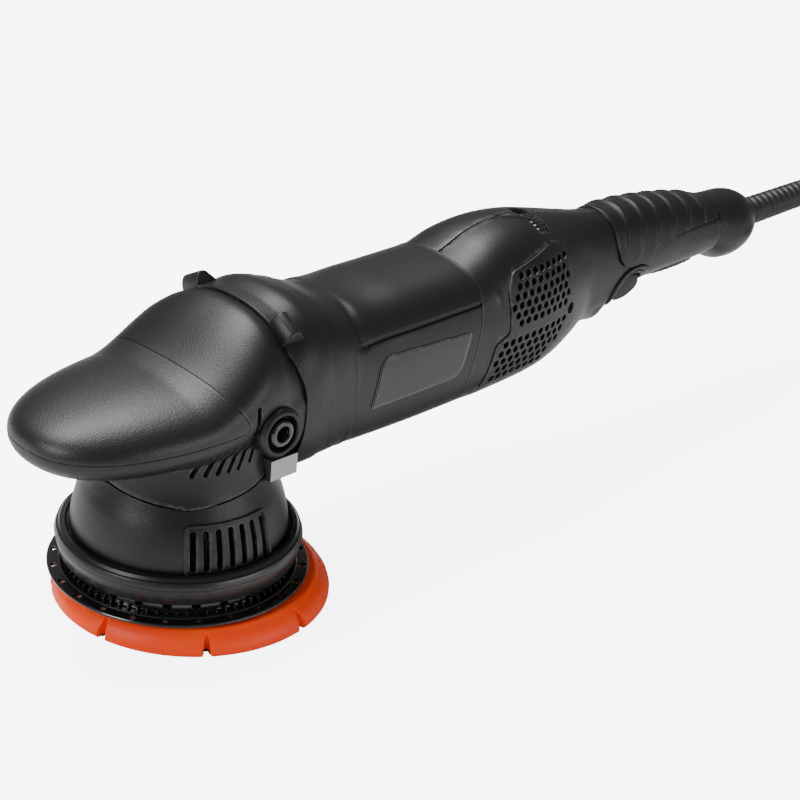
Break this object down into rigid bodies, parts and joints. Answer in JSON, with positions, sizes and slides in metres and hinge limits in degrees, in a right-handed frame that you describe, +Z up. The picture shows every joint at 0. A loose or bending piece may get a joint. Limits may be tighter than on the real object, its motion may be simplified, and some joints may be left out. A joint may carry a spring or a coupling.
{
  "type": "dual action polisher",
  "caption": "Corded long-neck random orbital polisher with a free-spinning round pad, vented shroud, palm nose, ribbed rear handle, paddle switch and speed dial.",
  "frame": {"origin": "where the drive spindle's axis meets the pad's working face, at rest", "axes": "+Z up along the drive spindle, away from the work; +X from the spindle back along the motor towards the rear handle; +Y to the left seen from the handle"},
  "size_m": [0.7144, 0.1956, 0.136],
  "materials": {
    "black_plastic": "fine grained black polyamide",
    "soft_touch": "matt black overmoulded rubber",
    "bumper_rubber": "satin black rubber",
    "gloss_black": "gloss black",
    "cast_alloy": "as-cast, bead blasted",
    "steel": "ground steel",
    "zinc_screw": "zinc plated",
    "lamination": "stacked sheet steel",
    "copper": "enamelled copper",
    "brass_part": "stamped brass",
    "carbon": "sintered carbon",
    "board": "circuit board",
    "orange_foam": "moulded polyurethane, orange",
    "hook_fabric": "hook tape",
    "cord_jacket": "rubber jacket",
    "nickel": "nickel plated",
    "inner_plastic": "glass filled nylon",
    "name_plate": "blank satin plate"
  },
  "bodies": {
    "root": {"palm_cover": "soft_touch", "head_shell": "black_plastic", "gear_case": "cast_alloy", "gear_case_lid": "cast_alloy", "lid_screws": "zinc_screw", "motor_collar": "black_plastic", "motor_screws": "zinc_screw", "side_handle_inserts": "gloss_black", "spindle_bearings": "steel", "bearing_retainer": "steel", "shroud": "black_plastic", "shroud_screws": "zinc_screw", "bumper_ring": "bumper_rubber", "vent_ring": "gloss_black", "motor_housing": "black_plastic", "label_plates": "name_plate", "field_core": "lamination", "field_windings": "copper", "air_baffle": "inner_plastic", "armature_bearings": "steel", "brush_holders": "brass_part", "carbon_brushes": "carbon", "brush_springs": "steel", "rear_housing_left": "black_plastic", "rear_housing_right": "black_plastic", "side_cover_left": "black_plastic", "side_cover_right": "black_plastic", "side_cover_screws": "zinc_screw", "handle_screws": "zinc_screw", "speed_board": "board", "switch_body": "inner_plastic", "trigger_spring": "steel", "grip_sleeve": "soft_touch", "grip_insert": "soft_touch", "pommel_cap": "black_plastic", "cord_clamp": "inner_plastic", "clamp_screws": "zinc_screw", "strain_relief": "cord_jacket", "cord": "cord_jacket", "cord_coil": "cord_jacket", "cord_tie": "hook_fabric", "plug": "cord_jacket", "plug_pins": "nickel"},
    "armature": {"armature_shaft": "steel", "armature_core": "lamination", "armature_windings": "copper", "commutator": "copper", "fan": "inner_plastic", "pinion": "steel"},
    "drive": {"spindle": "steel", "crown_gear": "steel", "counterweight": "steel", "eccentric_bearings": "steel"},
    "pad": {"pad_spindle": "steel", "backing_disc": "inner_plastic", "pad_foam": "orange_foam", "hook_face": "hook_fabric", "pad_bolt": "zinc_screw"},
    "dial": {"speed_dial": "black_plastic"},
    "switch_paddle": {"trigger": "black_plastic"}
  },
  "joints": [
    {"name": "spindle_spin", "type": "hinge", "parent": "root", "child": "drive", "pos_m": [0, 0, 0.05], "axis": [0, 0, 1], "continuous": true},
    {"name": "armature_spin", "type": "hinge", "parent": "root", "child": "armature", "pos_m": [0.1, 0, 0.088], "axis": [1, 0, 0], "continuous": true},
    {"name": "pad_spin", "type": "hinge", "parent": "drive", "child": "pad", "pos_m": [0.0046, -0.00386, 0.02], "axis": [0, 0, 1], "continuous": true},
    {"name": "dial_turn", "type": "hinge", "parent": "root", "child": "dial", "pos_m": [0.207, -0.006, 0.1175], "axis": [1, 0, 0], "range_deg": [-135, 135]},
    {"name": "paddle_press", "type": "hinge", "parent": "root", "child": "switch_paddle", "pos_m": [0.294, 0, 0.084], "axis": [0, 1, 0], "range_deg": [0, 6], "stiffness_Nm_per_rad": 0.6, "springref_deg": -1.72, "deforming": ["trigger_spring"]}
  ],
  "couplings": [
    {"joint": "armature_spin", "follows": "spindle_spin", "ratio": 4}
  ]
}
